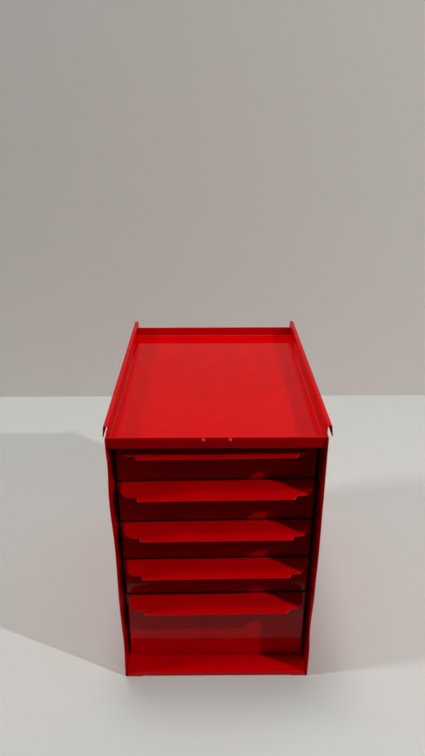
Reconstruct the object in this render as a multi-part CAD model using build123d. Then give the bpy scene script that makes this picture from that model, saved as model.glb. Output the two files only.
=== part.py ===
"""Side cabinet for a tool chest: folded steel case, open top tray and five drawers on ball slides.

Millimetres. X runs across the width, the drawers pull out towards -Y and Z is up.
The origin is at the middle of the footprint, on the surface the cabinet stands on.
"""
import os
from math import cos, radians, sin, tan

from build123d import *

# Case
CASE_WIDTH = 216.0         # over the outer faces of the side panels
CASE_DEPTH = 308.0
RIM_HEIGHT = 327.5         # top edge of the side panels at the front corners
CASE_SHEET = 0.9
CASE_BEND = 0.9            # inner radius of the folds in the case
BACK_FLANGE = 8.0          # folds of the back panel along the side panels
FOOT_FLANGE = 20.0         # turned in under the floor, along each side
FLOOR_TOP = 5.4            # upper face of the floor pan
FLOOR_SETBACK = 0.3        # floor pan behind the front edges of the sides
SEAM = 0.1                 # slack between pieces that are folded to fit each other
OVERCUT = 1.0              # cuts run this far past the sheet that they cut

# Hooks along the top of the side panels
HOOK_RISE = 9.0            # top of the hook above the rim
HOOK_GAP = 3.2             # what hangs in the hook has to be thinner than this
HOOK_FLARE = 1.4           # lower edge of the hanging leg further out than its top
HOOK_LEG = 12.5            # hanging leg, from the top of the hook down
HOOK_SETBACK = 8.5         # the hooks start behind the front corners
SHOULDER_RADIUS = 2.0

# Top tray
TRAY_DEPTH = 12.0          # lip above the tray floor
TRAY_RIM_DROP = 0.3        # lip below the rim of the sides
TRAY_SETBACK = 2.0         # lip behind the front edges of the sides
TRAY_SKIRT = 9.0           # flanges turned down along the side panels
TRAY_HEM = 6.0             # edge folded flat on itself

# Drawers
SHALLOW_DRAWERS = 4
SHALLOW_PITCH = 52.0       # the deep drawer takes the height that is left
TOP_PITCH = 49.8           # the top drawer is a little lower than the other shallow ones
STACK_CLEARANCE = 2.8      # top drawer under the tray
FACE_GAP = 1.4             # between one drawer face and the next, and above the floor
FACE_SIDE_GAP = 3.1        # between a drawer face and a side panel
FACE_SETBACK = 26.0        # drawer faces behind the front edges of the sides
FACE_SHEET = 0.9
FACE_BEND = 0.9
FACE_RETURN = 7.0          # edges of the face folded back
PAN_SHEET = 0.8
PAN_BEND = 1.2
PAN_FLOOR_RISE = 1.5       # drawer floor above the lower edge of its face
PAN_RIM_DROP = 12.0        # drawer sides below the upper edge of the face
PAN_HEM = 6.0
PAN_BACK_GAP = 2.0         # drawer behind its slide, in front of the back panel's flange

# Pull: the face folds forward and down at its upper edge
PULL_SLOPE = 18.5          # degrees below level
PULL_REACH = 21.7          # from the face to the outer stretches of the edge
PULL_NOTCH = 5.0           # relief at each end, beside the fold
PULL_CORNER = 11.0
PULL_HEM_HALF = 82.0       # half the length of the hemmed middle stretch
PULL_HEM_REACH = 2.8       # hemmed stretch in front of the rest
PULL_HEM_RETURN = 6.0

# Ball slides
SLIDE_THICKNESS = 9.8      # from side panel to drawer side
SLIDE_SHEET = 1.0
SLIDE_BEND = 0.8
SLIDE_DROP = 28.0          # slide centre below the upper edge of the face
SLIDE_TRAVEL = 185.0
SLIDE_FRONT_GAP = 12.0     # slide behind the folded-back edges of the face
SLIDE_BACK_GAP = 1.0       # slide in front of the back panel's folds
BALL_RADIUS = 1.5
BALL_ROW_OFFSET = 6.1      # ball rows above and below the slide centre
BALL_RUN = 0.05            # between a ball and its races
BALLS_PER_ROW = 4
RACE_TURN = 45.0           # degrees that a race carries on round its balls past the middle
RACE_FLAT = 0.02           # straight between the race and the next fold
LIP_LENGTH = 0.5           # straight end of the outer race
RAIL_TOE = 0.55            # flat end of the inner race, past the middle of the ball
RAIL_SHOULDER = 0.95       # rise from the inner race to the flange of the rail
RAIL_SHOULDER_BEND = 0.3
CAGE_SHEET = 0.5
CAGE_WALL_GAP = 0.1        # ball cage off the web of the outer member
CAGE_REACH = 4.2           # ball cage from the side panel
CAGE_POCKET = 0.15         # window round each ball
CAGE_MARGIN = 6.0          # first and last window from the ends of the cage
STOP_SETBACK = 1.0         # stop tabs from the ends of the members
STOP_LENGTH = 1.0
STOP_WIDTH = 4.0
STOP_HEIGHT = 0.75         # stop tab on the web of the outer member
STOP_RUN = 0.5             # cage to stop tab at full travel
TOE_STOP_GAP = 0.2         # stop tab of the rail off the web of the outer member

# Rivets in the lip of the tray
TRAY_RIVET_SPACING = 26.0
TRAY_RIVET_DROP = 3.0      # centres below the top of the lip
RIVET_RADIUS = 1.2
RIVET_HEAD_RADIUS = 2.0
RIVET_HEAD_HEIGHT = 0.8
RIVET_TAIL_RADIUS = 1.9
RIVET_TAIL_HEIGHT = 0.8
RIVET_HOLE_SLACK = 0.05

# Places worked out from the sizes above
FRONT_Y = -CASE_DEPTH / 2
BACK_Y = CASE_DEPTH / 2
INNER_HALF = CASE_WIDTH / 2 - CASE_SHEET
HOOK_TOP = RIM_HEIGHT + HOOK_RISE
TRAY_RIM = RIM_HEIGHT - TRAY_RIM_DROP
TRAY_FLOOR = TRAY_RIM - TRAY_DEPTH
TRAY_FRONT_Y = FRONT_Y + TRAY_SETBACK
BACK_INNER_Y = BACK_Y - CASE_SHEET
STACK_TOP = TRAY_FLOOR - CASE_SHEET - STACK_CLEARANCE
FACE_HALF = INNER_HALF - FACE_SIDE_GAP
FACE_Y = FRONT_Y + FACE_SETBACK
PAN_FRONT_Y = FACE_Y + FACE_SHEET
SLIDE_FRONT_Y = FACE_Y + FACE_RETURN + SLIDE_FRONT_GAP
SLIDE_BACK_Y = BACK_Y - BACK_FLANGE - SLIDE_BACK_GAP
PAN_BACK_Y = BACK_Y - BACK_FLANGE - PAN_BACK_GAP
PAN_HALF = INNER_HALF - SLIDE_THICKNESS
RACE_RADIUS = BALL_RADIUS + BALL_RUN
BALL_OFFSET = SLIDE_SHEET + RACE_RADIUS
STOP_ALLOWANCE = STOP_SETBACK + STOP_LENGTH + STOP_RUN
CAGE_FRONT_Y = SLIDE_FRONT_Y + STOP_ALLOWANCE + SLIDE_TRAVEL / 2
CAGE_BACK_Y = SLIDE_BACK_Y - STOP_ALLOWANCE - SLIDE_TRAVEL / 2


# Folded sheet

def shifted_path(points, distance):
    """An open path moved sideways to its left by a distance, with mitred corners."""
    moved = []
    last = len(points) - 1
    for index, point in enumerate(points):
        before = points[max(index - 1, 0)]
        after = points[min(index + 1, last)]
        arriving = (Vector(*point) - Vector(*before)) if index > 0 else None
        leaving = (Vector(*after) - Vector(*point)) if index < last else None
        first = (arriving or leaving).normalized()
        second = (leaving or arriving).normalized()
        left = Vector(-first.Y - second.Y, first.X + second.X)
        half_turn_cosine = left.length / 2
        moved.append(Vector(*point) + left.normalized() * (distance / half_turn_cosine))
    return [(place.X, place.Y) for place in moved]


def folded_section(points, sheet, bends):
    """Section of a sheet whose middle follows the points; bends are the inner radii of its folds.

    With bends of 0 the folds are sharp.
    """
    corners = len(points) - 2
    inner = list(bends) if isinstance(bends, (list, tuple)) else [bends] * corners
    left_radii = []
    right_radii = []
    for index in range(corners):
        start, corner, end = (Vector(*points[index + step]) for step in range(3))
        turns_left = (corner - start).cross(end - corner).Z > 0
        left_radii.append(inner[index] + (0 if turns_left else sheet))
        right_radii.append(inner[index] + (sheet if turns_left else 0))
    left = shifted_path(points, sheet / 2)
    right = shifted_path(points, -sheet / 2)
    folded = any(inner)
    left_side = FilletPolyline(*left, radius=left_radii) if folded else Polyline(*left)
    right_side = FilletPolyline(*right, radius=right_radii) if folded else Polyline(*right)
    return make_face([left_side, Line(left[-1], right[-1]), right_side, Line(right[0], left[0])])


def hem_section(root, tip, sheet, side):
    """Section of an edge folded flat on itself; side is +1 if the fold lies left of root to tip."""
    along = (Vector(*tip) - Vector(*root)).normalized()
    across = Vector(-along.Y, along.X) * side
    low = Vector(*root) - across * (sheet / 2)
    high = Vector(*tip) - along * sheet - across * (sheet / 2)
    double = across * (2 * sheet)
    corners = [low, high, high + double, low + double]
    strip = make_face(Polyline(*[(place.X, place.Y) for place in corners], close=True))
    round_centre = high + double / 2
    return strip + Pos(round_centre.X, round_centre.Y) * Circle(sheet)


def along_y(section, front, back):
    """A section drawn in X and Z, run from one Y to another."""
    return extrude(Plane.XZ.offset(-back) * section, amount=back - front)


def along_x(section, left, right):
    """A section drawn in Y and Z, run from one X to another."""
    return extrude(Plane.YZ.offset(left) * section, amount=right - left)


def upward(section, low, high):
    """A section drawn in X and Y, run from one Z to another."""
    return extrude(Plane.XY.offset(low) * section, amount=high - low)


def block(low, high):
    """A box between two corners."""
    size = [high[axis] - low[axis] for axis in range(3)]
    return Pos(*low) * Box(*size, align=(Align.MIN, Align.MIN, Align.MIN))


def other_side(piece):
    """The same piece on the other side of the cabinet."""
    return mirror(piece, about=Plane.YZ)


# Case

def side_panel():
    """Right side panel: foot flange, wall and the hook folded outwards along its top."""
    middle = CASE_WIDTH / 2 - CASE_SHEET / 2
    hook_middle = middle + CASE_SHEET + HOOK_GAP
    top = HOOK_TOP - CASE_SHEET / 2
    section = folded_section(
        [
            (middle - FOOT_FLANGE, CASE_SHEET / 2),
            (middle, CASE_SHEET / 2),
            (middle, top),
            (hook_middle, top),
            (hook_middle + HOOK_FLARE, HOOK_TOP - HOOK_LEG),
        ],
        CASE_SHEET,
        CASE_BEND,
    )
    panel = along_y(section, FRONT_Y, BACK_Y)
    shoulder = Polyline(
        (FRONT_Y - OVERCUT, RIM_HEIGHT),
        (FRONT_Y + HOOK_SETBACK, RIM_HEIGHT),
        (FRONT_Y + HOOK_SETBACK, HOOK_TOP + OVERCUT),
        (FRONT_Y - OVERCUT, HOOK_TOP + OVERCUT),
        close=True,
    )
    notch = make_face(shoulder)
    inner_corner = notch.vertices().sort_by(Axis.X)[-2:].sort_by(Axis.Y)[0]
    notch = fillet(inner_corner, SHOULDER_RADIUS)
    panel -= along_x(notch, 0, CASE_WIDTH)
    leg_clearance = block(
        (CASE_WIDTH / 2 + SEAM, FRONT_Y - OVERCUT, HOOK_TOP - HOOK_LEG - OVERCUT),
        (CASE_WIDTH, FRONT_Y + HOOK_SETBACK, HOOK_TOP + OVERCUT),
    )
    return panel - leg_clearance


def back_panel():
    """Back panel, standing on the foot flanges, with its edges folded along the sides."""
    middle = INNER_HALF - CASE_SHEET / 2
    wall = BACK_Y - CASE_SHEET / 2
    flange_front = BACK_Y - BACK_FLANGE
    section = folded_section(
        [(-middle, flange_front), (-middle, wall), (middle, wall), (middle, flange_front)],
        CASE_SHEET,
        CASE_BEND,
    )
    panel = upward(section, CASE_SHEET, TRAY_RIM)
    tray_skirt_bottom = TRAY_FLOOR - CASE_SHEET - TRAY_SKIRT
    flanges_off = BACK_INNER_Y - CASE_BEND
    panel -= block((-INNER_HALF, 0, tray_skirt_bottom - SEAM), (INNER_HALF, flanges_off, HOOK_TOP))
    panel -= block((-INNER_HALF, 0, 0), (INNER_HALF, flanges_off, FLOOR_TOP + SEAM))
    foot_fold = CASE_SHEET + CASE_BEND
    for side in (-1, 1):
        panel -= Pos(side * INNER_HALF, BACK_Y, 0) * Box(2 * CASE_BEND, 2 * foot_fold, 2 * foot_fold)
    return panel


def floor_pan():
    """Floor: a shallow pan turned upside down, standing on the foot flanges."""
    top = FLOOR_TOP - CASE_SHEET / 2
    side = INNER_HALF - CASE_SHEET / 2
    front = FRONT_Y + FLOOR_SETBACK + CASE_SHEET / 2
    back = BACK_INNER_Y - SEAM - CASE_SHEET / 2
    relief = CASE_SHEET / 2 + CASE_BEND + SEAM
    skirt = CASE_SHEET + CASE_BEND
    across = folded_section(
        [(-side, skirt), (-side, top), (side, top), (side, skirt)], CASE_SHEET, CASE_BEND
    )
    lengthwise = folded_section(
        [(front, CASE_SHEET), (front, top), (back, top), (back, CASE_SHEET)], CASE_SHEET, CASE_BEND
    )
    pan = along_y(across, front + relief, back - relief)
    return pan + along_x(lengthwise, relief - side, side - relief)


def top_tray():
    """Open tray closing the case: lips front and back, skirts down the sides."""
    floor = TRAY_FLOOR - CASE_SHEET / 2
    side = INNER_HALF - CASE_SHEET / 2
    front = TRAY_FRONT_Y + CASE_SHEET / 2
    back = BACK_INNER_Y - CASE_SHEET / 2
    relief = CASE_SHEET / 2 + CASE_BEND + SEAM
    skirt_bottom = floor - CASE_SHEET / 2 - TRAY_SKIRT
    across = folded_section(
        [(-side, skirt_bottom), (-side, floor), (side, floor), (side, skirt_bottom)],
        CASE_SHEET,
        CASE_BEND,
    )
    hem = hem_section((front, TRAY_RIM - TRAY_HEM), (front, TRAY_RIM), CASE_SHEET, -1)
    lip_top = TRAY_RIM - CASE_SHEET
    lengthwise = folded_section(
        [(front, lip_top), (front, floor), (back, floor), (back, TRAY_RIM)], CASE_SHEET, CASE_BEND
    )
    lip = folded_section([(front, lip_top), (front, TRAY_FLOOR + CASE_BEND)], CASE_SHEET, [])
    tray = along_y(across, front + relief, back - relief)
    tray += along_x(lengthwise, relief - side, side - relief)
    tray += along_x(lip + hem, SEAM - INNER_HALF, INNER_HALF - SEAM)
    hole = Cylinder(RIVET_RADIUS + RIVET_HOLE_SLACK, 2 * (2 * CASE_SHEET + OVERCUT))
    for place in tray_rivet_places():
        tray -= place * hole
    return tray


def tray_rivet_places():
    """Seats of the rivets' heads on the front of the lip, with Z pointing forward."""
    height = TRAY_RIM - TRAY_RIVET_DROP
    return [
        Pos(side * TRAY_RIVET_SPACING / 2, TRAY_FRONT_Y, height) * Rot(X=90) for side in (-1, 1)
    ]


def tray_rivets():
    """Two domed rivets through the folded lip of the tray."""
    dome_radius = (RIVET_HEAD_RADIUS**2 + RIVET_HEAD_HEIGHT**2) / (2 * RIVET_HEAD_HEIGHT)
    grip = -2 * CASE_SHEET
    tail = grip - RIVET_TAIL_HEIGHT
    outline = [
        RadiusArc((0, RIVET_HEAD_HEIGHT), (RIVET_HEAD_RADIUS, 0), dome_radius),
        Polyline(
            (RIVET_HEAD_RADIUS, 0),
            (RIVET_RADIUS, 0),
            (RIVET_RADIUS, grip),
            (RIVET_TAIL_RADIUS, grip),
            (RIVET_TAIL_RADIUS, tail),
            (0, tail),
            (0, RIVET_HEAD_HEIGHT),
        ),
    ]
    rivet = revolve(Plane.XZ * make_face(outline), Axis.Z)
    return [place * rivet for place in tray_rivet_places()]


# Ball slides, drawn on the right side of the cabinet.
# Sections use the distance in from the side panel and the height over the slide's centre.

def slide_section(points, sheet, bends):
    """Section of a slide member in its place against the right side panel."""
    return folded_section([(INNER_HALF - depth, height) for depth, height in points], sheet, bends)


def mirrored_points(upper):
    """A path from its upper end to the middle, carried on to the matching lower end."""
    return upper + [(depth, -height) for depth, height in reversed(upper)]


def race_setback():
    """Length from a corner to where the fold round a ball begins, along the middle of the sheet."""
    return (RACE_RADIUS + SLIDE_SHEET / 2) * tan(radians(RACE_TURN) / 2)


def slide_channel(centre):
    """Outer member, fixed to the side panel, with the stop tab at its front end."""
    web = SLIDE_SHEET / 2
    top = BALL_ROW_OFFSET + RACE_RADIUS + SLIDE_SHEET / 2
    corner = BALL_OFFSET + race_setback() + RACE_FLAT
    lip = race_setback() + LIP_LENGTH
    turn = radians(RACE_TURN)
    lip_end = (corner + lip * cos(turn), top - lip * sin(turn))
    section = slide_section(
        mirrored_points([lip_end, (corner, top), (web, top)]),
        SLIDE_SHEET,
        [RACE_RADIUS] * 4,
    )
    channel = along_y(section, SLIDE_FRONT_Y, SLIDE_BACK_Y)
    stop_front = SLIDE_FRONT_Y + STOP_SETBACK
    web_face = INNER_HALF - SLIDE_SHEET
    channel += block(
        (web_face - STOP_HEIGHT, stop_front, -STOP_WIDTH / 2),
        (web_face + SLIDE_SHEET / 2, stop_front + STOP_LENGTH, STOP_WIDTH / 2),
    )
    return Pos(0, 0, centre) * channel


def slide_rail(centre):
    """Inner member, fixed to the drawer, with stop tabs at its rear end."""
    race = BALL_ROW_OFFSET - RACE_RADIUS - SLIDE_SHEET / 2
    corner = BALL_OFFSET + race_setback()
    toe = BALL_OFFSET - RAIL_TOE
    flange = race + RAIL_SHOULDER
    shoulder = corner + RAIL_SHOULDER / tan(radians(RACE_TURN))
    web = SLIDE_THICKNESS - SLIDE_SHEET / 2
    upper = [(toe, race), (corner, race), (shoulder, flange), (web, flange)]
    bends = [RACE_RADIUS, RAIL_SHOULDER_BEND, SLIDE_BEND]
    section = slide_section(mirrored_points(upper), SLIDE_SHEET, bends + bends[::-1])
    rail = along_y(section, SLIDE_FRONT_Y, SLIDE_BACK_Y)
    stop_back = SLIDE_BACK_Y - STOP_SETBACK
    toe_reach = INNER_HALF - SLIDE_SHEET - TOE_STOP_GAP
    for height in (race, -race):
        rail += block(
            (INNER_HALF - toe - SLIDE_SHEET / 2, stop_back - STOP_LENGTH, height - SLIDE_SHEET / 2),
            (toe_reach, stop_back, height + SLIDE_SHEET / 2),
        )
    return Pos(0, 0, centre) * rail


def ball_ys():
    """Balls of one row, evenly spaced in the cage."""
    first = CAGE_FRONT_Y + CAGE_MARGIN
    last = CAGE_BACK_Y - CAGE_MARGIN
    return [first + (last - first) * index / (BALLS_PER_ROW - 1) for index in range(BALLS_PER_ROW)]


def ball_cage(centre):
    """Cage that carries both rows of balls between the members."""
    web = SLIDE_SHEET + CAGE_WALL_GAP + CAGE_SHEET / 2
    section = slide_section(
        mirrored_points([(CAGE_REACH, BALL_ROW_OFFSET), (web, BALL_ROW_OFFSET)]), CAGE_SHEET, 0
    )
    cage = along_y(section, CAGE_FRONT_Y, CAGE_BACK_Y)
    width = 2 * (BALL_RADIUS + CAGE_POCKET)
    window = Box(width, width, 2 * BALL_RADIUS)
    for y in ball_ys():
        for row in (-1, 1):
            cage -= Pos(INNER_HALF - BALL_OFFSET, y, row * BALL_ROW_OFFSET) * window
    return Pos(0, 0, centre) * cage


# Drawers

def drawer_front(top, bottom):
    """Face with its edges folded back, and the pull folded forward along its upper edge."""
    middle = FACE_Y + FACE_SHEET / 2
    side = FACE_HALF - FACE_SHEET / 2
    returned = FACE_Y + FACE_RETURN
    pull_half = FACE_HALF - PULL_NOTCH
    crest = top - FACE_SHEET / 2
    slope = radians(PULL_SLOPE)
    edge_y = FACE_Y - PULL_REACH
    hem_y = edge_y - PULL_HEM_REACH

    def pull_height(y):
        return crest - (middle - y) * tan(slope)

    edges = folded_section(
        [(-side, returned), (-side, middle), (side, middle), (side, returned)], FACE_SHEET, FACE_BEND
    )
    face = upward(edges, bottom, top - FACE_SHEET - FACE_BEND)

    plain = folded_section(
        [
            (returned, bottom + FACE_SHEET / 2),
            (middle, bottom + FACE_SHEET / 2),
            (middle, crest),
            (edge_y, pull_height(edge_y)),
        ],
        FACE_SHEET,
        FACE_BEND,
    )
    outline = Pos(0, (edge_y + returned) / 2) * RectangleRounded(
        2 * pull_half, returned - edge_y + 2 * PULL_CORNER, PULL_CORNER
    )
    outline = Pos(0, PULL_CORNER) * outline
    face += along_x(plain, -pull_half, pull_half) & upward(outline, bottom - OVERCUT, top + OVERCUT)

    return face + pull_hem(middle, crest, hem_y, slope)


def pull_hem(middle, crest, hem_y, slope):
    """Middle stretch of the pull: it reaches further forward and is folded flat under itself."""
    along = Vector(-cos(slope), -sin(slope))
    fold = Vector(middle, crest)
    tip = fold + along * ((middle - hem_y) / cos(slope))
    root = tip - along * PULL_HEM_RETURN
    hem = along_x(
        hem_section((root.X, root.Y), (tip.X, tip.Y), FACE_SHEET, 1), -PULL_HEM_HALF, PULL_HEM_HALF
    )
    height = crest - tip.Y + 2 * FACE_SHEET + OVERCUT
    for side in (-1, 1):
        corner = make_face(
            Polyline(
                (side * PULL_HEM_HALF, hem_y + PULL_HEM_REACH),
                (side * PULL_HEM_HALF, hem_y - OVERCUT),
                (side * (PULL_HEM_HALF - PULL_HEM_REACH - OVERCUT), hem_y - OVERCUT),
                close=True,
            )
        )
        hem -= upward(corner, crest - height, crest)
    return hem


def drawer_pan(top, bottom):
    """Drawer body: hemmed sides, end walls and floor folded from one sheet."""
    side = PAN_HALF - PAN_SHEET / 2
    floor = bottom + PAN_FLOOR_RISE + PAN_SHEET / 2
    rim = top - PAN_RIM_DROP
    front = PAN_FRONT_Y + PAN_SHEET / 2
    back = PAN_BACK_Y - PAN_SHEET / 2
    relief = PAN_SHEET / 2 + PAN_BEND
    wall_top = rim - PAN_SHEET
    section = folded_section(
        [(-side, wall_top), (-side, floor), (side, floor), (side, wall_top)], PAN_SHEET, PAN_BEND
    )
    pan = along_y(section, front + relief, back - relief)
    wall = folded_section([(side, floor + relief), (side, wall_top)], PAN_SHEET, [])
    wall += hem_section((side, rim - PAN_HEM), (side, rim), PAN_SHEET, 1)
    side_wall = along_y(wall, PAN_FRONT_Y, PAN_BACK_Y)
    pan += side_wall + other_side(side_wall)
    ends = folded_section(
        [(front, rim), (front, floor), (back, floor), (back, rim)], PAN_SHEET, PAN_BEND
    )
    end_half = side - PAN_SHEET * 1.5 - SEAM
    pan += along_x(ends, -end_half, end_half)
    return pan


def drawer_levels():
    """Top and bottom of each drawer face, from the top drawer down."""
    levels = []
    top = STACK_TOP
    for pitch in [TOP_PITCH] + [SHALLOW_PITCH] * (SHALLOW_DRAWERS - 1):
        levels.append((top, top - pitch + FACE_GAP))
        top -= pitch
    levels.append((top, FLOOR_TOP + FACE_GAP))
    return levels


def save(name, solids):
    """Write one sub-part: a single solid, or a group of separate solids."""
    pieces = solids if isinstance(solids, list) else [solids]
    shape = Compound(children=[solid for piece in pieces for solid in piece.solids()])
    export_step(shape, f"parts/{name}.step")


def main():
    os.makedirs("parts", exist_ok=True)
    panel = side_panel()
    save("right_side_panel", panel)
    save("left_side_panel", other_side(panel))
    save("back_panel", back_panel())
    save("floor_pan", floor_pan())
    save("top_tray", top_tray())
    save("tray_rivets", tray_rivets())
    for number, (top, bottom) in enumerate(drawer_levels(), start=1):
        centre = top - SLIDE_DROP
        for name, piece in (
            ("slide_channel", slide_channel(centre)),
            ("slide_rail", slide_rail(centre)),
            ("ball_cage", ball_cage(centre)),
        ):
            save(f"{name}_right_{number}", piece)
            save(f"{name}_left_{number}", other_side(piece))
        save(f"drawer_front_{number}", drawer_front(top, bottom))
        save(f"drawer_pan_{number}", drawer_pan(top, bottom))


main()
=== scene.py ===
import math

import bmesh
import bpy
from mathutils import Matrix, Vector
from mathutils.bvhtree import BVHTree


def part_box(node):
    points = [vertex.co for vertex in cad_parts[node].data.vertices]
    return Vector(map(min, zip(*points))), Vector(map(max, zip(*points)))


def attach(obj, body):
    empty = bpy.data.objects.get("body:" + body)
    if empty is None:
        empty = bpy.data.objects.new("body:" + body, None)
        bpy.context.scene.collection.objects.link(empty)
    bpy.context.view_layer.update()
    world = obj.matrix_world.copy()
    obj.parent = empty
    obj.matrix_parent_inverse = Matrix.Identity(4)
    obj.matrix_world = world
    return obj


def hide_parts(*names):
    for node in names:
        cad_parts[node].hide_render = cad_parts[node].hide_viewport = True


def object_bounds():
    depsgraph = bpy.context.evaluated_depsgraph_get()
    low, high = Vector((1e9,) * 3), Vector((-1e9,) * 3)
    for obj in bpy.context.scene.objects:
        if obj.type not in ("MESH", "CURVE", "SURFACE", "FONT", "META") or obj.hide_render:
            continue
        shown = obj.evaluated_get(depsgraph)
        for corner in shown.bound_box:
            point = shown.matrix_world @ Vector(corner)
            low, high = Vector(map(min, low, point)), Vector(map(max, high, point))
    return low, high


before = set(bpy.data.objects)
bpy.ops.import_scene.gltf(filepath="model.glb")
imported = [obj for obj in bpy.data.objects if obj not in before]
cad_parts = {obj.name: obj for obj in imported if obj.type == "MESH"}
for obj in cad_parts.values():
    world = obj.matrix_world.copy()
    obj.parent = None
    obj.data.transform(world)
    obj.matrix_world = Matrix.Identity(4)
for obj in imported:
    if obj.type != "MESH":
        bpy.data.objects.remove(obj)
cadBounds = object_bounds()
mm = 0.001                    # the scene is in metres, sizes below are in millimetres
sides = {"left": -1, "right": 1}
drawerNumbers = range(1, 1 + sum(name.startswith("drawer_pan_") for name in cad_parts))
print("frame loaded, drawers:", len(drawerNumbers))


# Colours and nodes

def hexToLinear(code):
    channels = [int(code[place:place + 2], 16) / 255 for place in (1, 3, 5)]
    linear = [c / 12.92 if c <= 0.04045 else ((c + 0.055) / 1.055) ** 2.4 for c in channels]
    return (*linear, 1.0)


def addNode(tree, kind, inputs=None, **settings):
    node = tree.nodes.new(kind)
    for name, value in settings.items():
        setattr(node, name, value)
    for socket, value in (inputs or {}).items():
        if isinstance(value, bpy.types.NodeSocket):
            tree.links.new(value, node.inputs[socket])
        else:
            node.inputs[socket].default_value = value
    return node


def emptyMaterial(name):
    material = bpy.data.materials.new(name)
    material.use_nodes = True
    material.node_tree.nodes.clear()
    return material


def perMetre(sizeInMm):
    return 1 / (sizeInMm * mm)


def addPiece(name, data):
    piece = bpy.data.objects.new(name, data)
    bpy.context.scene.collection.objects.link(piece)
    return piece


# Powder coat: polyester paint baked on sheet steel. It is glossy, with a fine orange peel, and
# over the sheet's edges it is duller and chipped down to the steel. Its paler red there is partly
# thinner paint and partly a painted highlight along the edges.

powderCoat = {
    "red": "#CE0007",
    "edgeHighlightRed": "#D2141A",
    "rivetHighlightRed": "#F8484D",
    "hookShadeRed": "#8C0A10",
    "hookShadeRoughness": 0.7,
    "bareSteel": "#8C8784",
    "dust": "#C9B8B2",
    "roughness": 0.07,
    "edgeRoughness": 0.34,
    "ior": 1.45,
    "cloudPitch": 26.0,       # film thickness drifts over this length
    "cloudRange": (0.3, 0.7),      # noise values that count as thinnest and thickest
    "cloudDepth": 0.05,       # share of the colour
    "peelPitch": 2.4,         # orange peel, drawn a little coarse so that it shows
    "peelHeight": 0.007,
    "sheetPitch": 85.0,       # the sheet itself isn't quite flat
    "sheetHeight": 0.08,
    "scuffWidth": 0.9,        # scuffs run front to back
    "scuffLength": 28.0,
    "scuffRange": (0.55, 0.8),     # noise values where a scuff starts and where it is full
    "scuffRoughness": 0.10,
    "dustPitch": 13.0,
    "dustRadius": 0.35,
    "dustCore": 0.6,          # share of the radius that is full grain
    "dustCover": 0.5,         # how much of the paint a grain hides
    "chipPitch": 5.0,
    "chipBlur": 0.01,         # half the noise range over which a chip's rim fades
    "edgeChips": 0.70,        # noise above this is chipped
    "cutEndChips": 0.56,      # the hems' cut ends are chipped the most
}


def makePowderCoat(name, colourName, roughnessName, chipsName=None):
    look = powderCoat
    thin, thick = look["cloudRange"]
    scuffStart, scuffFull = look["scuffRange"]
    smoothest = look[roughnessName]
    material = emptyMaterial(name)
    tree = material.node_tree
    place = addNode(tree, "ShaderNodeTexCoord").outputs["Object"]
    cloud = addNode(tree, "ShaderNodeTexNoise", {
        "Vector": place, "Scale": perMetre(look["cloudPitch"]), "Detail": 3.0,
    })
    shade = addNode(tree, "ShaderNodeMapRange", {
        "Value": cloud.outputs["Fac"], "From Min": thin, "From Max": thick,
        "To Min": 1 - look["cloudDepth"], "To Max": 1 + look["cloudDepth"],
    })
    colour = addNode(tree, "ShaderNodeVectorMath", {
        0: hexToLinear(look[colourName])[:3], "Scale": shade.outputs["Result"],
    }, operation="SCALE").outputs["Vector"]
    if chipsName:             # small chips down to the steel
        chip = addNode(tree, "ShaderNodeTexNoise", {
            "Vector": place, "Scale": perMetre(look["chipPitch"]), "Detail": 4.0, "Roughness": 0.6,
        })
        spot = addNode(tree, "ShaderNodeMapRange", {
            "Value": chip.outputs["Fac"],
            "From Min": look[chipsName] - look["chipBlur"],
            "From Max": look[chipsName] + look["chipBlur"],
        })
        spotColour = hexToLinear(look["bareSteel"])
    else:                     # fine dust, one grain in every few cells
        cell = addNode(tree, "ShaderNodeTexVoronoi", {
            "Vector": place, "Scale": perMetre(look["dustPitch"]),
        })
        reach = look["dustRadius"] / look["dustPitch"]
        spot = addNode(tree, "ShaderNodeMapRange", {
            "Value": cell.outputs["Distance"],
            "From Min": reach, "From Max": reach * look["dustCore"], "To Max": look["dustCover"],
        })
        spotColour = hexToLinear(look["dust"])
    mixed = addNode(tree, "ShaderNodeMix", {
        0: spot.outputs["Result"], 6: colour, 7: spotColour,
    }, data_type="RGBA")
    across, along = perMetre(look["scuffWidth"]), perMetre(look["scuffLength"])
    lengthened = addNode(tree, "ShaderNodeMapping", {
        "Vector": place, "Scale": (across, along, across),
    })
    scuff = addNode(tree, "ShaderNodeTexNoise", {
        "Vector": lengthened.outputs["Vector"], "Scale": 1.0, "Detail": 2.0,
    })
    roughness = addNode(tree, "ShaderNodeMapRange", {
        "Value": scuff.outputs["Fac"], "From Min": scuffStart, "From Max": scuffFull,
        "To Min": smoothest, "To Max": smoothest + look["scuffRoughness"],
    })
    waves = addNode(tree, "ShaderNodeTexNoise", {
        "Vector": place, "Scale": perMetre(look["sheetPitch"]), "Detail": 1.0,
    })
    sheetBump = addNode(tree, "ShaderNodeBump", {
        "Height": waves.outputs["Fac"], "Strength": 1.0, "Distance": look["sheetHeight"] * mm,
    })
    peel = addNode(tree, "ShaderNodeTexNoise", {
        "Vector": place, "Scale": perMetre(look["peelPitch"]), "Detail": 1.0,
    })
    peelBump = addNode(tree, "ShaderNodeBump", {
        "Height": peel.outputs["Fac"], "Strength": 1.0, "Distance": look["peelHeight"] * mm,
        "Normal": sheetBump.outputs["Normal"],
    })
    paint = addNode(tree, "ShaderNodeBsdfPrincipled", {
        "Base Color": mixed.outputs[2],
        "Roughness": roughness.outputs["Result"],
        "IOR": look["ior"],
        "Normal": peelBump.outputs["Normal"],
    })
    addNode(tree, "ShaderNodeOutputMaterial", {"Surface": paint.outputs["BSDF"]})
    return material


# Zinc plate on rolled strip: a bright grey metal with fine drawing lines and dull clouds.

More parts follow.
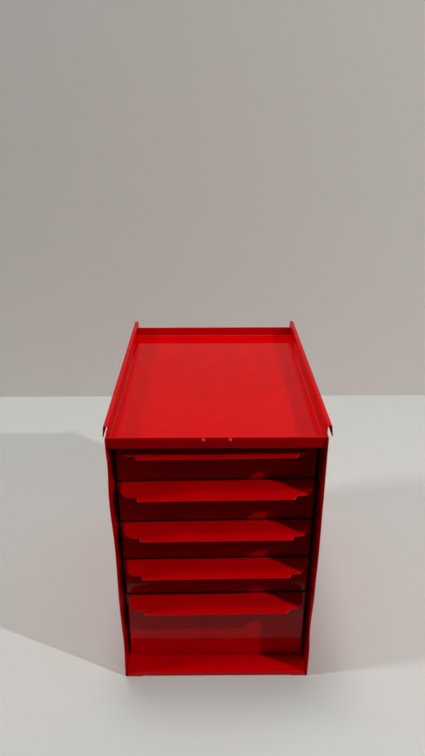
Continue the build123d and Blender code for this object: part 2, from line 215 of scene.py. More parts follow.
zincPlate = {
    "bright": "#C9CDD1",
    "dull": "#A3A8AD",
    "roughness": 0.30,
    "linePitch": 0.45,        # drawing lines, coarser than real ones so that they show
    "lineLength": 60.0,
    "lineHeight": 0.004,
    "cloudPitch": 14.0,
}

# Clouds of any rolled steel: the noise values between which its colour and its roughness change,
# and how much smoother and rougher it gets.
steelClouds = {
    "patchRange": (0.35, 0.65),
    "roughnessRange": (0.3, 0.7),
    "smoother": 0.06,
    "rougher": 0.08,
}


def makeRolledSteel(name, look):
    material = emptyMaterial(name)
    tree = material.node_tree
    place = addNode(tree, "ShaderNodeTexCoord").outputs["Object"]
    bright, dull = steelClouds["patchRange"]
    smooth, rough = steelClouds["roughnessRange"]
    across, along = perMetre(look["linePitch"]), perMetre(look["lineLength"])
    drawn = addNode(tree, "ShaderNodeMapping", {
        "Vector": place, "Scale": (across, along, across),
    })
    lines = addNode(tree, "ShaderNodeTexNoise", {
        "Vector": drawn.outputs["Vector"], "Scale": 1.0, "Detail": 2.0,
    })
    cloud = addNode(tree, "ShaderNodeTexNoise", {
        "Vector": place, "Scale": perMetre(look["cloudPitch"]), "Detail": 4.0, "Roughness": 0.6,
    })
    patch = addNode(tree, "ShaderNodeMapRange", {
        "Value": cloud.outputs["Fac"], "From Min": bright, "From Max": dull,
    })
    colour = addNode(tree, "ShaderNodeMix", {
        0: patch.outputs["Result"], 6: hexToLinear(look["bright"]), 7: hexToLinear(look["dull"]),
    }, data_type="RGBA")
    roughness = addNode(tree, "ShaderNodeMapRange", {
        "Value": cloud.outputs["Fac"], "From Min": smooth, "From Max": rough,
        "To Min": look["roughness"] - steelClouds["smoother"],
        "To Max": look["roughness"] + steelClouds["rougher"],
    })
    bump = addNode(tree, "ShaderNodeBump", {
        "Height": lines.outputs["Fac"], "Strength": 1.0, "Distance": look["lineHeight"] * mm,
    })
    metal = addNode(tree, "ShaderNodeBsdfPrincipled", {
        "Base Color": colour.outputs[2],
        "Metallic": 1.0,
        "Roughness": roughness.outputs["Result"],
        "Normal": bump.outputs["Normal"],
    })
    addNode(tree, "ShaderNodeOutputMaterial", {"Surface": metal.outputs["BSDF"]})
    return material


# Cold-rolled strip of the ball cages: darker, oily and a little smoother than the plated slides.

cageStrip = {
    "bright": "#8E9296",
    "dull": "#6B6F73",
    "roughness": 0.24,
    "linePitch": 0.4,
    "lineLength": 40.0,
    "lineHeight": 0.003,
    "cloudPitch": 9.0,
}

# Bearing steel: balls ground and lapped to a mirror, with grease that dulls them in patches.

ballSteel = {
    "bright": "#D4D6D8",
    "dull": "#B9BBBC",
    "roughness": 0.12,
    "linePitch": 2.0,
    "lineLength": 2.0,
    "lineHeight": 0.0005,
    "cloudPitch": 2.5,
}

redPaint = makePowderCoat("redPowderCoat", "red", "roughness")
# the edge paints' paler red is partly a painted highlight along the rounded edges
redEdgeWithHighlight = makePowderCoat("redPowderCoatEdgeHighlight", "edgeHighlightRed", "edgeRoughness", "edgeChips")
chippedEdge = makePowderCoat("chippedPowderCoatCut", "edgeHighlightRed", "edgeRoughness", "cutEndChips")

# Inside the hooks the paint is darker, a painted shade for the narrow gap there, and rough, so
# that it doesn't shine.
hookPaintedShade = makePowderCoat("hookInsidePaintedShade", "hookShadeRed", "hookShadeRoughness")
slideZinc = makeRolledSteel("zincPlatedSlideSteel", zincPlate)
cageSteel = makeRolledSteel("coldRolledCageStrip", cageStrip)
bearingSteel = makeRolledSteel("lappedBearingSteel", ballSteel)

# Rivet heads: the same coat, duller, and painted paler than the sheet as a painted highlight on
# their domes.
rivetPaintedHighlight = makePowderCoat("rivetPowderCoatPaintedHighlight", "rivetHighlightRed", "edgeRoughness")
print("materials made")


# Painted sheet pieces: each takes its shape from its CAD node, with the sheet's edges rounded by
# the paint and smooth folds. Faces carry the gloss paint, the rounded edges the paler edge paint,
# which is partly a painted highlight, and faces that a piece picks out a paint of their own.

sheetEdge = {
    "radius": 0.28,
    "segments": 2,
    "sharpAngle": 50.0,       # degrees: folds turn less than this at a time, cut edges turn more
    "flatAngle": 0.2,         # degrees: facets that turn less than this are one face
    "flatFaceWeight": 100,    # how far wide faces rule the shading over the rounded edges
    "tinyStep": 0.03,         # the rounding would tear steps of this size open, so they are closed
}
edgePaint, ownPaint = 1, 2    # material slots


def bakeModifiers(piece):
    graph = bpy.context.evaluated_depsgraph_get()
    finished = bpy.data.meshes.new_from_object(
        piece.evaluated_get(graph), preserve_all_data_layers=True, depsgraph=graph,
    )
    piece.modifiers.clear()
    piece.data = finished


def mergedCopy(nodeName, pieceName):
    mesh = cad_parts[nodeName].data.copy()
    mesh.name = pieceName
    work = bmesh.new()
    work.from_mesh(mesh)
    bmesh.ops.remove_doubles(work, verts=work.verts, dist=sheetEdge["tinyStep"] * mm)
    bmesh.ops.dissolve_limit(work, angle_limit=math.radians(sheetEdge["flatAngle"]),
                             verts=work.verts, edges=work.edges)
    work.to_mesh(mesh)
    work.free()
    mesh.materials.clear()
    return mesh


def drawPointsIn(mesh, sheet):
    # where short edges crowd a corner the bevel shoots past it, and such points go back to their
    # neighbours
    work = bmesh.new()
    work.from_mesh(mesh)
    reach = sheetEdge["radius"] * mm
    strays = {vert for vert in work.verts if sheet.find_nearest(vert.co)[3] > reach}
    for vert in strays:
        others = [edge.other_vert(vert) for edge in vert.link_edges]
        near = [other.co for other in others if other not in strays]
        vert.co = sum(near, Vector()) / len(near) if near else sheet.find_nearest(vert.co)[0]
    work.to_mesh(mesh)
    work.free()


def roundEdges(piece, crowded):
    piece.data.shade_smooth()
    sheet = BVHTree.FromPolygons([vert.co for vert in piece.data.vertices],
                                 [face.vertices for face in piece.data.polygons])
    bevel = piece.modifiers.new("paintedEdge", "BEVEL")
    bevel.width = sheetEdge["radius"] * mm
    bevel.segments = sheetEdge["segments"]
    bevel.limit_method = "ANGLE"
    bevel.angle_limit = math.radians(sheetEdge["sharpAngle"])
    bevel.use_clamp_overlap = crowded         # where a notch leaves no room for the full radius
    bevel.material = edgePaint
    bakeModifiers(piece)
    drawPointsIn(piece.data, sheet)
    weighted = piece.modifiers.new("flatFaces", "WEIGHTED_NORMAL")
    weighted.mode = "FACE_AREA"
    weighted.weight = sheetEdge["flatFaceWeight"]
    bakeModifiers(piece)


def dressSheet(nodeName, pieceName, body, reshape=None, crowded=False, otherPaint=None):
    mesh = mergedCopy(nodeName, pieceName)
    for paint in (redPaint, redEdgeWithHighlight, otherPaint):
        if paint:
            mesh.materials.append(paint)
    if reshape:
        reshape(mesh)
    piece = addPiece(pieceName, mesh)
    roundEdges(piece, crowded)
    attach(piece, body)
    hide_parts(nodeName)


def cutAcross(work, point, direction, slack):
    bmesh.ops.bisect_plane(work, geom=work.verts[:] + work.edges[:] + work.faces[:],
                           plane_co=point, plane_no=direction, dist=slack * mm)


def smoothShare(share):
    return (1 - math.cos(math.pi * min(max(share, 0), 1))) / 2


# The front edges of the side panels aren't quite straight. Each wave is a height and how far the
# edge strays there towards +X, and it dies away before the slides.

frontEdgeWave = {
    "left": [(6, 0), (50, 1.2), (112, 0.1), (190, 0.8), (254, -0.9), (300, 0.6), (313, 0)],
    "right": [(6, 0), (34, 0.2), (76, -1.3), (130, 0.1), (190, 0.7), (260, 0.3), (313, 0)],
    "reach": 30.0,            # how far back from the front edge
    "heightStep": 8.0,        # the panel is cut into stretches of this size, so that it can bend
    "depthStep": 6.0,
    "cutSlack": 0.001,        # points this near a cut lie on it
}


def strayAt(height, waves):
    for (lowHeight, lowStray), (highHeight, highStray) in zip(waves, waves[1:]):
        if lowHeight <= height <= highHeight:
            share = (height - lowHeight) / (highHeight - lowHeight)
            return lowStray + (highStray - lowStray) * smoothShare(share)
    return 0.0


# The left hook leans in over the tray, most at its front end, as if the cabinet once hung askew.

hookLean = {
    "left": 2.1,              # how far the front end leans in, at its top
    "right": 0.0,
    "foot": 326.0,            # the panel is straight below this height
    "outside": 108.5,         # further out than this is the hook's hanging leg
    "top": 336.5,
    "front": -145.0,
    "back": 150.0,            # and the lean has died away here
    "heightStep": 2.0,
    "lastCut": 335.5,         # just under the hook's fold
    "insideFacing": 0.5,      # faces of the leg that look this much towards the panel get the painted shade
}


def steps(start, end, step):
    return [start + step * index for index in range(int((end - start) / step) + 1)]


def leanAt(spot, side):
    rise = (spot.z / mm - hookLean["foot"]) / (hookLean["top"] - hookLean["foot"])
    if abs(spot.x / mm) > hookLean["outside"]:
        rise = 1              # the hanging leg moves with the top of the hook
    ahead = (hookLean["back"] - spot.y / mm) / (hookLean["back"] - hookLean["front"])
    inward = -sides[side]
    return inward * hookLean[side] * smoothShare(rise) * min(max(ahead, 0), 1)


def bendSide(side, mesh):
    waves, reach = frontEdgeWave[side], frontEdgeWave["reach"]
    front = cadBounds[0].y / mm
    heights = steps(waves[0][0], waves[-1][0], frontEdgeWave["heightStep"])
    heights += steps(hookLean["foot"], hookLean["lastCut"], hookLean["heightStep"])
    depths = steps(front + frontEdgeWave["depthStep"], front + reach, frontEdgeWave["depthStep"])
    work = bmesh.new()
    work.from_mesh(mesh)
    for height in heights:
        cutAcross(work, (0, 0, height * mm), (0, 0, 1), frontEdgeWave["cutSlack"])
    for depth in depths:
        cutAcross(work, (0, depth * mm, 0), (0, 1, 0), frontEdgeWave["cutSlack"])
    for vert in work.verts:
        fade = 1 - smoothShare((vert.co.y / mm - front) / reach)
        stray = strayAt(vert.co.z / mm, waves) * fade
        vert.co.x += (stray + leanAt(vert.co, side)) * mm
    work.normal_update()
    # faces of the hook's leg that look towards the panel take the painted shade
    for face in work.faces:
        onLeg = abs(face.calc_center_median().x) > hookLean["outside"] * mm
        if onLeg and sides[side] * face.normal.x < -hookLean["insideFacing"]:
            face.material_index = ownPaint
    work.to_mesh(mesh)
    work.free()


# All five drawers sit a little askew in the case: their right ends are the higher ones. The top
# one is also pushed in a little further than the others, and sags by its slides' play.

drawerSeat = {
    "tilt": 0.012,            # rise over run
    "settled": {1: (2.6, -1.5)},   # the drawer's number, then how far back and up
}

# Each pull's sheet bulges up a little between its fold and its front edge. Its ends, beside the
# hem, were cut back more than the middle, and the coat is chipped on the hem's cut ends.

drawerPull = {
    "reach": 23.9,            # from the fold to the front edge
    "slope": 18.5,            # degrees
    "arch": 1.4,
    "archTop": 6.5,           # from the fold
    "archCuts": 12,
    "hemHalf": 81.9,          # the ends start this far from the middle
    "endsShortened": 0.07,    # share of the reach
    "cutLength": 3.2,         # the hem's slanted cut ends, along the pull
    "cutFacing": 0.4,         # and how much they look sideways
}


def archAt(distance):
    arch, top, reach = (drawerPull[name] for name in ("arch", "archTop", "reach"))
    if distance < top:
        return arch * math.sin(math.pi / 2 * max(distance, 0) / top)
    return arch * (reach - distance) / (reach - top)


def foldPlace(mesh):
    return min(vert.co.y for vert in mesh.vertices) + drawerPull["reach"] * mm


def archPull(mesh):
    fold, cuts = foldPlace(mesh), drawerPull["archCuts"]
    work = bmesh.new()
    work.from_mesh(mesh)
    for index in range(cuts):
        place = fold - drawerPull["reach"] * mm * (index + 0.5) / cuts
        cutAcross(work, (0, place, 0), (0, 1, 0), sheetEdge["tinyStep"])
    for vert in work.verts:
        vert.co.z += archAt((fold - vert.co.y) / mm) * mm
    work.to_mesh(mesh)
    work.free()


def trimEnds(mesh):
    fold, hemHalf = foldPlace(mesh), drawerPull["hemHalf"] * mm
    fall = math.tan(math.radians(drawerPull["slope"]))
    for vert in mesh.vertices:
        if abs(vert.co.x) > hemHalf and vert.co.y < fold:
            cut = drawerPull["endsShortened"] * (fold - vert.co.y)
            vert.co.y += cut
            vert.co.z += cut * fall
    mesh.update()
    for face in mesh.polygons:
        onPull = face.center.y < fold
        onCutEnd = 0 < hemHalf - abs(face.center.x) < drawerPull["cutLength"] * mm
        if onPull and onCutEnd and abs(face.normal.x) > drawerPull["cutFacing"]:
            face.material_index = ownPaint


def seatDrawer(number, mesh):
    back, up = drawerSeat["settled"].get(number, (0.0, 0.0))
    for vert in mesh.vertices:
        vert.co.y += back * mm
        vert.co.z += up * mm + drawerSeat["tilt"] * vert.co.x


def shapeFront(number, mesh):
    archPull(mesh)
    trimEnds(mesh)
    seatDrawer(number, mesh)


for side in sides:
    dressSheet(side + "_side_panel", side + "SidePanelPainted", "case",
               lambda mesh: bendSide(side, mesh), otherPaint=hookPaintedShade)
dressSheet("back_panel", "backPanelPainted", "case", crowded=True)
dressSheet("floor_pan", "floorPanPainted", "case")
dressSheet("top_tray", "topTrayPainted", "case")
for number in drawerNumbers:
    body = f"drawer_{number}"
    dressSheet(f"drawer_front_{number}", f"drawerFrontPainted{number}", body,
               lambda mesh: shapeFront(number, mesh), otherPaint=chippedEdge)
    dressSheet(f"drawer_pan_{number}", f"drawerPanPainted{number}", body,
               lambda mesh: seatDrawer(number, mesh))
print("painted sheet pieces made")


# Powder coat bridges the narrow seams between the tray and the side panels with a small fillet.
# The fillet in the tray's back fold takes the paler edge paint, a painted highlight along the
# fold, with chips.

traySeam = {
    "side": 1.3,              # leg of the fillet
    "back": 0.9,
    "endGap": 1.2,            # short of the tray's lips
    "skin": 0.02,             # its edges lie this far over the sheets
    "lipSheet": 0.9,
    "floorArea": 100.0,       # a face this large that looks straight up is the tray's floor
    "floorFacing": 0.99,
}


def trayFloorHeight():
    large, level = traySeam["floorArea"] * mm * mm, traySeam["floorFacing"]
    middles = [face.center.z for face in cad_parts["top_tray"].data.polygons
               if face.normal.z > level and face.area > large]
    return max(middles) / mm


def pourSeam(name, start, end, inward, leg, paint):
    skin = traySeam["skin"]
    foot = Vector((0, 0, trayFloorHeight()))
    outline = [inward * skin + Vector((0, 0, leg)), inward * leg + Vector((0, 0, skin)),
               Vector((0, 0, -skin))]
    work = bmesh.new()
    rings = [[work.verts.new((foot + place + corner) * mm) for corner in outline]
             for place in (start, end)]
    for index in range(len(outline)):
        after = (index + 1) % len(outline)
        work.faces.new((rings[0][index], rings[0][after], rings[1][after], rings[1][index]))
    for ring in rings:
        work.faces.new(ring)
    bmesh.ops.recalc_face_normals(work, faces=work.faces)
    mesh = bpy.data.meshes.new(name)
    work.to_mesh(mesh)
    work.free()
    mesh.materials.append(paint)
    piece = addPiece(name, mesh)
    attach(piece, "case")


def pourSeams():
    low, high = (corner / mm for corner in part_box("top_tray"))
    front, back = low.y + traySeam["endGap"], high.y - traySeam["endGap"]
    for side, sign in sides.items():
        wall = high.x if sign > 0 else low.x
        pourSeam(side + "TraySeamPaint", Vector((wall, front, 0)), Vector((wall, back, 0)),
                 Vector((-sign, 0, 0)), traySeam["side"], redPaint)
    # the back fold's fillet carries a painted highlight in the paler edge paint
    wall = high.y - traySeam["lipSheet"]
    pourSeam("backTraySeamPaintedHighlight", Vector((low.x, wall, 0)), Vector((high.x, wall, 0)),
             Vector((0, -1, 0)), traySeam["back"], redEdgeWithHighlight)


pourSeams()
print("tray seams filled")

# These CAD nodes keep their own shape and get their finish.
nodeFinish = {
    "slide_channel_": slideZinc,
    "slide_rail_": slideZinc,
    "ball_cage_": cageSteel,
    "tray_rivets": rivetPaintedHighlight,
}
for nodeName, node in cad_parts.items():
    for start, material in nodeFinish.items():
        if nodeName.startswith(start):
            node.material_slots[0].link = "OBJECT"
            node.material_slots[0].material = material
print("slides, cages and rivets finished")


# Balls of the slides: two rows in each cage, set out by one node tree.

slideBalls = {
    "radius": 1.5,
    "perRow": 4,
    "rowOffset": 6.1,         # above and below the slide's centre
    "endMargin": 6.0,         # first and last ball from the ends of the cage
    "fromPanel": 2.55,        # ball centres from the side panel
    "fineness": 3,            # times that each ball's facets are divided
}


def openTree(tree, inputs):
    tree.is_modifier = True
    for direction in ("INPUT", "OUTPUT"):
        tree.interface.new_socket("Geometry", in_out=direction, socket_type="NodeSocketGeometry")
    for name, kind in inputs.items():
        tree.interface.new_socket(name, in_out="INPUT", socket_type="NodeSocket" + kind)
    return addNode(tree, "NodeGroupInput")


def closeTree(tree, points, instance, material, rotation=None):
    settings = {"Points": points, "Instance": instance}
    if rotation:
        settings["Rotation"] = rotation
    placed = addNode(tree, "GeometryNodeInstanceOnPoints", settings)
    real = addNode(tree, "GeometryNodeRealizeInstances", {"Geometry": placed.outputs["Instances"]})
    painted = addNode(tree, "GeometryNodeSetMaterial", {
        "Geometry": real.outputs["Geometry"], "Material": material,
    })
    addNode(tree, "NodeGroupOutput", {"Geometry": painted.outputs["Geometry"]})


def makeBallTree():
    tree = bpy.data.node_groups.new("ballsInCages", "GeometryNodeTree")
    given = openTree(tree, {
        "Ball Radius": "Float", "Fineness": "Int", "Ball Steel": "Material",
    })
    ball = addNode(tree, "GeometryNodeMeshIcoSphere", {
        "Radius": given.outputs["Ball Radius"], "Subdivisions": given.outputs["Fineness"],
    })
    smooth = addNode(tree, "GeometryNodeSetShadeSmooth", {"Geometry": ball.outputs["Mesh"]})
    closeTree(tree, given.outputs["Geometry"], smooth.outputs["Geometry"],
              given.outputs["Ball Steel"])
    return tree


def runTree(piece, tree, values):
    modifier = piece.modifiers.new(tree.name, "NODES")
    modifier.node_group = tree
    for item in tree.interface.items_tree:
        if item.item_type == "SOCKET" and item.in_out == "INPUT" and item.name in values:
            modifier[item.identifier] = values[item.name]
    bakeModifiers(piece)


def pointPiece(name, points):
    mesh = bpy.data.meshes.new(name)
    mesh.from_pydata(points, [], [])
    return addPiece(name, mesh)


def ballCentres(number):
    centres = []
    for side, sign in sides.items():
        cageLow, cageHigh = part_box(f"ball_cage_{side}_{number}")
        channelLow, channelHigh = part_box(f"slide_channel_{side}_{number}")
        panelFace = channelHigh.x if sign > 0 else channelLow.x
        x = panelFace - sign * slideBalls["fromPanel"] * mm
        middle = (cageLow.z + cageHigh.z) / 2
        first = cageLow.y + slideBalls["endMargin"] * mm
        last = cageHigh.y - slideBalls["endMargin"] * mm
        for index in range(slideBalls["perRow"]):
            y = first + (last - first) * index / (slideBalls["perRow"] - 1)
            for row in (-1, 1):
                centres.append((x, y, middle + row * slideBalls["rowOffset"] * mm))
    return centres


ballTree = makeBallTree()
for number in drawerNumbers:
    balls = pointPiece(f"slideBalls{number}", ballCentres(number))
    runTree(balls, ballTree, {
        "Ball Radius": slideBalls["radius"] * mm,
        "Fineness": slideBalls["fineness"],
        "Ball Steel": bearingSteel,
    })
    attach(balls, f"cages_{number}")
print("slide balls set out")


# Spot welds leave round marks in the paint of the side panels, low rims with a dish inside: three
# over each slide, and a row each over the tray's skirt and the back panel's flange.

spotWeld = {
    "radius": 3.0,
    "rimRadius": 2.3,
    "rimHeight": 0.24,
    "dishDepth": 0.20,
    "rimPoints": 20,
    "slopeRings": 2,          # rings of faces from foot to rim
    "dishRings": 4,           # and from rim to middle
    "baseHeight": 0.001,      # points lower than this are the mark's foot and stay
    "slideEndGap": 22.0,      # first and last weld from the ends of a slide
    "perSlide": 3,
    "skirtDrop": 5.5,         # below the tray's floor
    "perSkirt": 5,
    "flangeInset": 4.5,       # from the back face
    "perFlange": 6,
    "endGap": 24.0,           # first and last weld of a row from the panel's ends
}


def spread(first, last, count):
    return [first + (last - first) * index / (count - 1) for index in range(count)]


def caseSheet():
    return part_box("back_panel")[0].z / mm      # the back panel stands on the foot flanges


def weldPlaces():
    places = []
    low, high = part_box("back_panel")
    skirtHeight = trayFloorHeight() - spotWeld["skirtDrop"]
    gap = spotWeld["endGap"]
    for side, sign in sides.items():
        face = sign * (high.x / mm + caseSheet())          # the side panel's outer face
        for number in drawerNumbers:
            slideLow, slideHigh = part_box(f"slide_channel_{side}_{number}")
            first = slideLow.y / mm + spotWeld["slideEndGap"]
            last = slideHigh.y / mm - spotWeld["slideEndGap"]
            middle = (slideLow.z + slideHigh.z) / 2 / mm
            places += [(face, y, middle) for y in spread(first, last, spotWeld["perSlide"])]
        front = cadBounds[0].y / mm
        ends = front + gap, -front - gap
        places += [(face, y, skirtHeight) for y in spread(*ends, spotWeld["perSkirt"])]
        y = high.y / mm - spotWeld["flangeInset"]
        places += [(face, y, z) for z in spread(gap, skirtHeight - gap, spotWeld["perFlange"])]
    return places


def makeWeldTree():
    tree = bpy.data.node_groups.new("spotWeldMarks", "GeometryNodeTree")
    given = openTree(tree, {
        "Radius": "Float", "Rim Radius": "Float", "Rim Height": "Float", "Dish Depth": "Float",
        "Rim Points": "Int", "Paint": "Material",
    })
    mark = addNode(tree, "GeometryNodeMeshCone", {
        "Vertices": given.outputs["Rim Points"],
        "Side Segments": spotWeld["slopeRings"], "Fill Segments": spotWeld["dishRings"],
        "Radius Top": given.outputs["Rim Radius"], "Radius Bottom": given.outputs["Radius"],
        "Depth": given.outputs["Rim Height"],
    }, fill_type="TRIANGLE_FAN")
    place = addNode(tree, "GeometryNodeInputPosition").outputs["Position"]
    spot = addNode(tree, "ShaderNodeSeparateXYZ", {"Vector": place})
    flat = addNode(tree, "ShaderNodeCombineXYZ", {"X": spot.outputs["X"], "Y": spot.outputs["Y"]})
    out = addNode(tree, "ShaderNodeVectorMath", {0: flat.outputs["Vector"]}, operation="LENGTH")
    dish = addNode(tree, "ShaderNodeMapRange", {
        "Value": out.outputs["Value"], "From Max": given.outputs["Rim Radius"],
        "To Min": given.outputs["Dish Depth"], "To Max": 0.0,
    }, interpolation_type="SMOOTHSTEP")
    onTop = addNode(tree, "FunctionNodeCompare", {
        0: spot.outputs["Z"], 1: spotWeld["baseHeight"] * mm,
    }, operation="GREATER_THAN")
    drop = addNode(tree, "ShaderNodeMath", {
        0: dish.outputs["Result"], 1: -1.0,
    }, operation="MULTIPLY")
    down = addNode(tree, "ShaderNodeCombineXYZ", {"Z": drop.outputs["Value"]})
    lowered = addNode(tree, "GeometryNodeSetPosition", {
        "Geometry": mark.outputs["Mesh"], "Selection": onTop.outputs["Result"],
        "Offset": down.outputs["Vector"],
    })
    smooth = addNode(tree, "GeometryNodeSetShadeSmooth", {"Geometry": lowered.outputs["Geometry"]})
    # over the welds' own points, the same position gives the side that each mark looks to
    side = addNode(tree, "ShaderNodeMath", {0: spot.outputs["X"]}, operation="SIGN")
    outward = addNode(tree, "ShaderNodeCombineXYZ", {"X": side.outputs["Value"]})
    turned = addNode(tree, "FunctionNodeAlignRotationToVector", {
        "Vector": outward.outputs["Vector"],
    }, axis="Z")
    closeTree(tree, given.outputs["Geometry"], smooth.outputs["Geometry"], given.outputs["Paint"],
              turned.outputs["Rotation"])
    return tree


weldPoints = [tuple(value * mm for value in place) for place in weldPlaces()]
welds = pointPiece("spotWeldMarks", weldPoints)
runTree(welds, makeWeldTree(), {
    "Radius": spotWeld["radius"] * mm,
    "Rim Radius": spotWeld["rimRadius"] * mm,
    "Rim Height": spotWeld["rimHeight"] * mm,
    "Dish Depth": spotWeld["dishDepth"] * mm,
    "Rim Points": spotWeld["rimPoints"],
    "Paint": redPaint,
})
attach(welds, "case")
print("weld marks made:", len(weldPoints))


# Table, wall and lamps

room = {
    "tableColour": "#CACBC8",
    "wallColour": "#DDD9D5",
    "wallBehind": 586.0,      # wall from the cabinet's middle
    "halfWidth": 4000.0,
    "wallHeight": 3200.0,
    "cameraGrey": "#AFA8A2",
    "skyTint": (1.0, 0.99, 0.98, 1.0),
    "zenith": (0.0, 0.35, 0.94),   # the ceiling is brightest a little behind the cabinet
    "zenithRange": (0.45, 1.0),    # how far round that direction it reaches
    "zenithLight": 0.40,
    "backLight": 0.12,        # from low down behind the cabinet
    "frontLight": 0.043,      # from low down in front, where the room is dim
    "frontToBack": 0.6,       # half the range over which the two blend
    "mirroredShare": 0.43,    # how bright table and wall look in the paint
    "tableFront": -252.0,     # beyond it the room is dim and sheds no light on the cabinet
    "dimRoom": 0.012,
}


def flatPiece(name, corners, material):
    mesh = bpy.data.meshes.new(name)
    corners = [tuple(value * mm for value in corner) for corner in corners]
    mesh.from_pydata(corners, [], [range(len(corners))])
    mesh.materials.append(material)
    piece = addPiece(name, mesh)


def makeStageMaterial(name, colour, oneSided):
    material = emptyMaterial(name)
    tree = material.node_tree
    ray = addNode(tree, "ShaderNodeLightPath")
    spot = addNode(tree, "ShaderNodeNewGeometry")
    place = addNode(tree, "ShaderNodeSeparateXYZ", {"Vector": spot.outputs["Position"]})
    near = addNode(tree, "ShaderNodeMath", {
        0: place.outputs["Y"], 1: room["tableFront"] * mm,
    }, operation="GREATER_THAN").outputs["Value"]
    inPaint = addNode(tree, "ShaderNodeMapRange", {
        "Value": ray.outputs["Is Glossy Ray"], "To Min": 1.0, "To Max": room["mirroredShare"],
    }).outputs["Result"]
    bounced = addNode(tree, "ShaderNodeMix", {0: near, 2: room["dimRoom"], 3: inPaint}).outputs[0]
    share = addNode(tree, "ShaderNodeMix", {
        0: ray.outputs["Is Camera Ray"], 2: bounced, 3: 1.0,
    }).outputs[0]
    shown = addNode(tree, "ShaderNodeVectorMath", {
        0: hexToLinear(colour)[:3], "Scale": share,
    }, operation="SCALE").outputs["Vector"]
    surface = addNode(tree, "ShaderNodeBsdfDiffuse", {"Color": shown}).outputs["BSDF"]
    if oneSided:              # the wall isn't in the way when the cabinet is seen from behind
        both = addNode(tree, "ShaderNodeMath", {
            0: spot.outputs["Backfacing"], 1: ray.outputs["Is Camera Ray"],
        }, operation="MULTIPLY")
        clear = addNode(tree, "ShaderNodeBsdfTransparent")
        surface = addNode(tree, "ShaderNodeMixShader", {
            0: both.outputs["Value"], 1: surface, 2: clear.outputs["BSDF"],
        }).outputs["Shader"]
    addNode(tree, "ShaderNodeOutputMaterial", {"Surface": surface})
    return material


wide, deep, tall = room["halfWidth"], room["wallBehind"], room["wallHeight"]
flatPiece("table", [(-wide, -wide, 0), (wide, -wide, 0), (wide, wide, 0), (-wide, wide, 0)],
          makeStageMaterial("paleTable", room["tableColour"], False))
flatPiece("wall", [(-wide, deep, 0), (wide, deep, 0), (wide, deep, tall), (-wide, deep, tall)],
          makeStageMaterial("plainWall", room["wallColour"], True))


def makeWorld():
    world = bpy.data.worlds.new("softRoom")
    bpy.context.scene.world = world
    world.use_nodes = True
    tree = world.node_tree
    tree.nodes.clear()
    direction = addNode(tree, "ShaderNodeTexCoord").outputs["Generated"]
    parts = addNode(tree, "ShaderNodeSeparateXYZ", {"Vector": direction})
    low = addNode(tree, "ShaderNodeMapRange", {
        "Value": parts.outputs["Y"],
        "From Min": -room["frontToBack"], "From Max": room["frontToBack"],
        "To Min": room["frontLight"], "To Max": room["backLight"],
    })
    high = addNode(tree, "ShaderNodeVectorMath", {
        0: direction, 1: room["zenith"],
    }, operation="DOT_PRODUCT").outputs["Value"]
    edge, middle = room["zenithRange"]
    rise = addNode(tree, "ShaderNodeMapRange", {
        "Value": high, "From Min": edge, "From Max": middle,
    }, interpolation_type="SMOOTHSTEP")
    level = addNode(tree, "ShaderNodeMix", {
        0: rise.outputs["Result"], 2: low.outputs["Result"], 3: room["zenithLight"],
    })
    light = addNode(tree, "ShaderNodeBackground", {
        "Color": room["skyTint"], "Strength": level.outputs[0],
    })
    plain = addNode(tree, "ShaderNodeBackground", {
        "Color": hexToLinear(room["cameraGrey"]), "Strength": 1.0,
    })
    mirrored = addNode(tree, "ShaderNodeMath", {
        0: level.outputs[0], 1: room["mirroredShare"],
    }, operation="MULTIPLY")
    dim = addNode(tree, "ShaderNodeBackground", {
        "Color": room["skyTint"], "Strength": mirrored.outputs["Value"],
    })
    ray = addNode(tree, "ShaderNodeLightPath")
    inPaint = addNode(tree, "ShaderNodeMixShader", {
        0: ray.outputs["Is Glossy Ray"],
        1: light.outputs["Background"], 2: dim.outputs["Background"],
    })
    mixed = addNode(tree, "ShaderNodeMixShader", {
        0: ray.outputs["Is Camera Ray"],
        1: inPaint.outputs["Shader"], 2: plain.outputs["Background"],
    })
    addNode(tree, "ShaderNodeOutputWorld", {"Surface": mixed.outputs["Shader"]})


makeWorld()

# Three square lamps: where each stands, how wide it is, how bright it makes a white table at the
# cabinet, and whether the paint mirrors it. The back lamp stands for a whole ceiling, and in its
# place the paint mirrors the world.

lampAim = (0, 0, 160)         # the cabinet's middle
lampTint = (1.0, 0.99, 0.975)
lamps = {
    "rightLamp": {"place": (1750, -960, 1700), "size": 40, "level": 0.265, "mirrored": True},
    "leftLamp": {"place": (-3520, -600, 2920), "size": 450, "level": 0.20, "mirrored": True},
    "backLamp": {"place": (-150, 250, 3200), "size": 600, "level": 0.33, "mirrored": False},
}


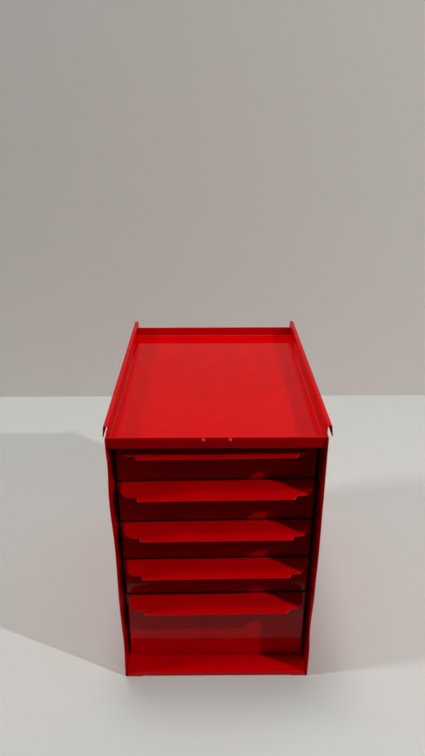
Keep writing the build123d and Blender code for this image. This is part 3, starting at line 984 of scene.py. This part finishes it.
def addLamp(name, place, size, level, mirrored):
    data = bpy.data.lights.new(name, "AREA")
    data.shape = "SQUARE"
    data.size = size * mm
    spot = Vector(place) * mm
    away = Vector(lampAim) * mm - spot
    tilt = -away.normalized().z          # cosine at the table
    # pi once for how the lamp spreads its light, and once for how the table does
    data.energy = math.pi * away.length_squared * math.pi * level / tilt
    data.color = lampTint
    lamp = addPiece(name, data)
    turn = away.to_track_quat("-Z", "Y").to_matrix().to_4x4()
    lamp.matrix_world = Matrix.Translation(spot) @ turn
    lamp.visible_glossy = mirrored


for name, lamp in lamps.items():
    addLamp(name, **lamp)
print("room and lamps set")


# Camera, as fitted to the photograph

photoCamera = {
    "place": (-6.3, -652.1, 624.0),
    "pitch": 25.03,           # degrees down
    "yaw": -0.264,
    "roll": 0.108,
    "focalPixels": 601.0,
    "longSidePixels": 756.0,
    "sensorWidth": 36.0,
    "nearest": 10.0,          # nothing closer or further than these is drawn
    "furthest": 50000.0,
}


def addCamera():
    data = bpy.data.cameras.new("photoCamera")
    data.sensor_width = photoCamera["sensorWidth"]
    data.lens = photoCamera["focalPixels"] / photoCamera["longSidePixels"] * data.sensor_width
    data.clip_start = photoCamera["nearest"] * mm
    data.clip_end = photoCamera["furthest"] * mm
    yaw, pitch, roll = (math.radians(photoCamera[name]) for name in ("yaw", "pitch", "roll"))
    level = Vector((math.cos(yaw), math.sin(yaw), 0))
    ahead = Vector((-math.sin(yaw), math.cos(yaw), 0))
    forward = ahead * math.cos(pitch) + Vector((0, 0, -math.sin(pitch)))
    upward = ahead * math.sin(pitch) + Vector((0, 0, math.cos(pitch)))
    right = level * math.cos(roll) - upward * math.sin(roll)
    up = level * math.sin(roll) + upward * math.cos(roll)
    turn = Matrix((right, up, -forward)).transposed().to_4x4()
    camera = addPiece("photoCamera", data)
    camera.matrix_world = Matrix.Translation(Vector(photoCamera["place"]) * mm) @ turn
    bpy.context.scene.camera = camera


addCamera()
bpy.context.scene.view_settings.view_transform = "Standard"
print("camera set")
